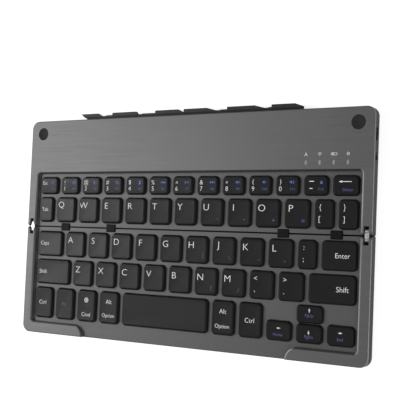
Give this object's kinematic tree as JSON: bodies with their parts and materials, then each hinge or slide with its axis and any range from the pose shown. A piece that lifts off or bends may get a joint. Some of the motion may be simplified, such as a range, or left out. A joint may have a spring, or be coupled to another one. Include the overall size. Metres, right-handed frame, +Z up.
{
  "type": "folding keyboard",
  "caption": "Two-part folding keyboard with link hinges at both ends of the fold, low square keys in a recessed deck, and a swing-out stand leaf under the rear panel.",
  "frame": {"origin": "centre of the open footprint, on the surface that the rubber feet rest on", "axes": "+X to the right along the fold, +Y to the rear panel, +Z up through the keys"},
  "size_m": [0.2369, 0.1412, 0.007],
  "materials": {
    "case_top": "satin gunmetal",
    "case_underside": "fine texture",
    "key_cap": "matte charcoal",
    "steel": "plain",
    "silicone": "translucent grey",
    "cell_foil": "foil",
    "circuit_board": "solder mask",
    "socket_metal": "plain",
    "lens": "frosted",
    "pad_rubber": "matte",
    "foot_rubber": "matte",
    "black_plastic": "satin",
    "stand_plastic": "fine texture",
    "spine_plastic": "satin",
    "link_metal": "satin",
    "pin_steel": "plain",
    "screw_steel": "dark"
  },
  "bodies": {
    "upper_half": {"upper_bottom_case": "case_underside", "upper_top_case": "case_top", "upper_key_plate": "steel", "upper_dome_sheet": "silicone", "battery": "cell_foil", "main_board": "circuit_board", "charge_socket": "socket_metal", "led_lenses": "lens", "corner_pads": "pad_rubber", "upper_feet": "foot_rubber", "stand_hinge_comb": "black_plastic", "stand_rod": "steel", "upper_hinge_pins": "pin_steel", "upper_screws": "screw_steel"},
    "power_switch": {"switch_knob": "black_plastic"},
    "stand": {"stand_leaf": "stand_plastic"},
    "fold_link": {"hinge_links": "link_metal", "hinge_spine": "spine_plastic"},
    "lower_half": {"lower_bottom_case": "case_underside", "lower_top_case": "case_top", "lower_key_plate": "steel", "lower_dome_sheet": "silicone", "lower_feet": "foot_rubber", "lower_hinge_pins": "pin_steel", "lower_screws": "screw_steel"},
    "keys_small_upper": {"keys_small_upper": "key_cap"},
    "key_backspace": {"key_backspace": "key_cap"},
    "key_q": {"key_q": "key_cap"},
    "key_w": {"key_w": "key_cap"},
    "key_e": {"key_e": "key_cap"},
    "key_r": {"key_r": "key_cap"},
    "key_t": {"key_t": "key_cap"},
    "key_y": {"key_y": "key_cap"},
    "key_u": {"key_u": "key_cap"},
    "key_i": {"key_i": "key_cap"},
    "key_o": {"key_o": "key_cap"},
    "key_p": {"key_p": "key_cap"},
    "key_a": {"key_a": "key_cap"},
    "key_s": {"key_s": "key_cap"},
    "key_d": {"key_d": "key_cap"},
    "key_f": {"key_f": "key_cap"},
    "key_g": {"key_g": "key_cap"},
    "key_h": {"key_h": "key_cap"},
    "key_j": {"key_j": "key_cap"},
    "key_k": {"key_k": "key_cap"},
    "key_l": {"key_l": "key_cap"},
    "key_enter": {"key_enter": "key_cap"},
    "key_z": {"key_z": "key_cap"},
    "key_x": {"key_x": "key_cap"},
    "key_c": {"key_c": "key_cap"},
    "key_v": {"key_v": "key_cap"},
    "key_b": {"key_b": "key_cap"},
    "key_n": {"key_n": "key_cap"},
    "key_m": {"key_m": "key_cap"},
    "key_shift_left": {"key_shift_left": "key_cap"},
    "key_shift_right": {"key_shift_right": "key_cap"},
    "key_space": {"key_space": "key_cap"},
    "keys_marks_lower": {"keys_marks_lower": "key_cap"},
    "keys_modifiers": {"keys_modifiers": "key_cap"},
    "keys_arrows": {"keys_arrows": "key_cap"}
  },
  "joints": [
    {"name": "link_fold", "type": "hinge", "parent": "upper_half", "child": "fold_link", "pos_m": [0, 0.00065, 0.0047], "axis": [-1, 0, 0], "range_deg": [0, 90]},
    {"name": "lower_fold", "type": "hinge", "parent": "fold_link", "child": "lower_half", "pos_m": [0, -0.00395, 0.0047], "axis": [-1, 0, 0], "range_deg": [0, 90]},
    {"name": "stand_swing", "type": "hinge", "parent": "upper_half", "child": "stand", "pos_m": [0, 0.06865, 0.00205], "axis": [1, 0, 0], "range_deg": [0, 240]},
    {"name": "switch_slide", "type": "slide", "parent": "upper_half", "child": "power_switch", "axis": [0, 1, 0], "range_m": [0, 0.0018]},
    {"name": "press_small_upper", "type": "slide", "parent": "upper_half", "child": "keys_small_upper", "axis": [0, 0, -1], "range_m": [0, 0.0012], "stiffness_N_per_m": 500, "deforming": ["upper_dome_sheet"]},
    {"name": "press_backspace", "type": "slide", "parent": "upper_half", "child": "key_backspace", "axis": [0, 0, -1], "range_m": [0, 0.0012], "stiffness_N_per_m": 500, "deforming": ["upper_dome_sheet"]},
    {"name": "press_q", "type": "slide", "parent": "upper_half", "child": "key_q", "axis": [0, 0, -1], "range_m": [0, 0.0012], "stiffness_N_per_m": 500, "deforming": ["upper_dome_sheet"]},
    {"name": "press_w", "type": "slide", "parent": "upper_half", "child": "key_w", "axis": [0, 0, -1], "range_m": [0, 0.0012], "stiffness_N_per_m": 500, "deforming": ["upper_dome_sheet"]},
    {"name": "press_e", "type": "slide", "parent": "upper_half", "child": "key_e", "axis": [0, 0, -1], "range_m": [0, 0.0012], "stiffness_N_per_m": 500, "deforming": ["upper_dome_sheet"]},
    {"name": "press_r", "type": "slide", "parent": "upper_half", "child": "key_r", "axis": [0, 0, -1], "range_m": [0, 0.0012], "stiffness_N_per_m": 500, "deforming": ["upper_dome_sheet"]},
    {"name": "press_t", "type": "slide", "parent": "upper_half", "child": "key_t", "axis": [0, 0, -1], "range_m": [0, 0.0012], "stiffness_N_per_m": 500, "deforming": ["upper_dome_sheet"]},
    {"name": "press_y", "type": "slide", "parent": "upper_half", "child": "key_y", "axis": [0, 0, -1], "range_m": [0, 0.0012], "stiffness_N_per_m": 500, "deforming": ["upper_dome_sheet"]},
    {"name": "press_u", "type": "slide", "parent": "upper_half", "child": "key_u", "axis": [0, 0, -1], "range_m": [0, 0.0012], "stiffness_N_per_m": 500, "deforming": ["upper_dome_sheet"]},
    {"name": "press_i", "type": "slide", "parent": "upper_half", "child": "key_i", "axis": [0, 0, -1], "range_m": [0, 0.0012], "stiffness_N_per_m": 500, "deforming": ["upper_dome_sheet"]},
    {"name": "press_o", "type": "slide", "parent": "upper_half", "child": "key_o", "axis": [0, 0, -1], "range_m": [0, 0.0012], "stiffness_N_per_m": 500, "deforming": ["upper_dome_sheet"]},
    {"name": "press_p", "type": "slide", "parent": "upper_half", "child": "key_p", "axis": [0, 0, -1], "range_m": [0, 0.0012], "stiffness_N_per_m": 500, "deforming": ["upper_dome_sheet"]},
    {"name": "press_a", "type": "slide", "parent": "lower_half", "child": "key_a", "axis": [0, 0, -1], "range_m": [0, 0.0012], "stiffness_N_per_m": 500, "deforming": ["lower_dome_sheet"]},
    {"name": "press_s", "type": "slide", "parent": "lower_half", "child": "key_s", "axis": [0, 0, -1], "range_m": [0, 0.0012], "stiffness_N_per_m": 500, "deforming": ["lower_dome_sheet"]},
    {"name": "press_d", "type": "slide", "parent": "lower_half", "child": "key_d", "axis": [0, 0, -1], "range_m": [0, 0.0012], "stiffness_N_per_m": 500, "deforming": ["lower_dome_sheet"]},
    {"name": "press_f", "type": "slide", "parent": "lower_half", "child": "key_f", "axis": [0, 0, -1], "range_m": [0, 0.0012], "stiffness_N_per_m": 500, "deforming": ["lower_dome_sheet"]},
    {"name": "press_g", "type": "slide", "parent": "lower_half", "child": "key_g", "axis": [0, 0, -1], "range_m": [0, 0.0012], "stiffness_N_per_m": 500, "deforming": ["lower_dome_sheet"]},
    {"name": "press_h", "type": "slide", "parent": "lower_half", "child": "key_h", "axis": [0, 0, -1], "range_m": [0, 0.0012], "stiffness_N_per_m": 500, "deforming": ["lower_dome_sheet"]},
    {"name": "press_j", "type": "slide", "parent": "lower_half", "child": "key_j", "axis": [0, 0, -1], "range_m": [0, 0.0012], "stiffness_N_per_m": 500, "deforming": ["lower_dome_sheet"]},
    {"name": "press_k", "type": "slide", "parent": "lower_half", "child": "key_k", "axis": [0, 0, -1], "range_m": [0, 0.0012], "stiffness_N_per_m": 500, "deforming": ["lower_dome_sheet"]},
    {"name": "press_l", "type": "slide", "parent": "lower_half", "child": "key_l", "axis": [0, 0, -1], "range_m": [0, 0.0012], "stiffness_N_per_m": 500, "deforming": ["lower_dome_sheet"]},
    {"name": "press_enter", "type": "slide", "parent": "lower_half", "child": "key_enter", "axis": [0, 0, -1], "range_m": [0, 0.0012], "stiffness_N_per_m": 500, "deforming": ["lower_dome_sheet"]},
    {"name": "press_z", "type": "slide", "parent": "lower_half", "child": "key_z", "axis": [0, 0, -1], "range_m": [0, 0.0012], "stiffness_N_per_m": 500, "deforming": ["lower_dome_sheet"]},
    {"name": "press_x", "type": "slide", "parent": "lower_half", "child": "key_x", "axis": [0, 0, -1], "range_m": [0, 0.0012], "stiffness_N_per_m": 500, "deforming": ["lower_dome_sheet"]},
    {"name": "press_c", "type": "slide", "parent": "lower_half", "child": "key_c", "axis": [0, 0, -1], "range_m": [0, 0.0012], "stiffness_N_per_m": 500, "deforming": ["lower_dome_sheet"]},
    {"name": "press_v", "type": "slide", "parent": "lower_half", "child": "key_v", "axis": [0, 0, -1], "range_m": [0, 0.0012], "stiffness_N_per_m": 500, "deforming": ["lower_dome_sheet"]},
    {"name": "press_b", "type": "slide", "parent": "lower_half", "child": "key_b", "axis": [0, 0, -1], "range_m": [0, 0.0012], "stiffness_N_per_m": 500, "deforming": ["lower_dome_sheet"]},
    {"name": "press_n", "type": "slide", "parent": "lower_half", "child": "key_n", "axis": [0, 0, -1], "range_m": [0, 0.0012], "stiffness_N_per_m": 500, "deforming": ["lower_dome_sheet"]},
    {"name": "press_m", "type": "slide", "parent": "lower_half", "child": "key_m", "axis": [0, 0, -1], "range_m": [0, 0.0012], "stiffness_N_per_m": 500, "deforming": ["lower_dome_sheet"]},
    {"name": "press_shift_left", "type": "slide", "parent": "lower_half", "child": "key_shift_left", "axis": [0, 0, -1], "range_m": [0, 0.0012], "stiffness_N_per_m": 500, "deforming": ["lower_dome_sheet"]},
    {"name": "press_shift_right", "type": "slide", "parent": "lower_half", "child": "key_shift_right", "axis": [0, 0, -1], "range_m": [0, 0.0012], "stiffness_N_per_m": 500, "deforming": ["lower_dome_sheet"]},
    {"name": "press_space", "type": "slide", "parent": "lower_half", "child": "key_space", "axis": [0, 0, -1], "range_m": [0, 0.0012], "stiffness_N_per_m": 500, "deforming": ["lower_dome_sheet"]},
    {"name": "press_marks_lower", "type": "slide", "parent": "lower_half", "child": "keys_marks_lower", "axis": [0, 0, -1], "range_m": [0, 0.0012], "stiffness_N_per_m": 500, "deforming": ["lower_dome_sheet"]},
    {"name": "press_modifiers", "type": "slide", "parent": "lower_half", "child": "keys_modifiers", "axis": [0, 0, -1], "range_m": [0, 0.0012], "stiffness_N_per_m": 500, "deforming": ["lower_dome_sheet"]},
    {"name": "press_arrows", "type": "slide", "parent": "lower_half", "child": "keys_arrows", "axis": [0, 0, -1], "range_m": [0, 0.0012], "stiffness_N_per_m": 500, "deforming": ["lower_dome_sheet"]}
  ],
  "couplings": [
    {"joint": "link_fold", "follows": "lower_fold", "ratio": 1}
  ]
}
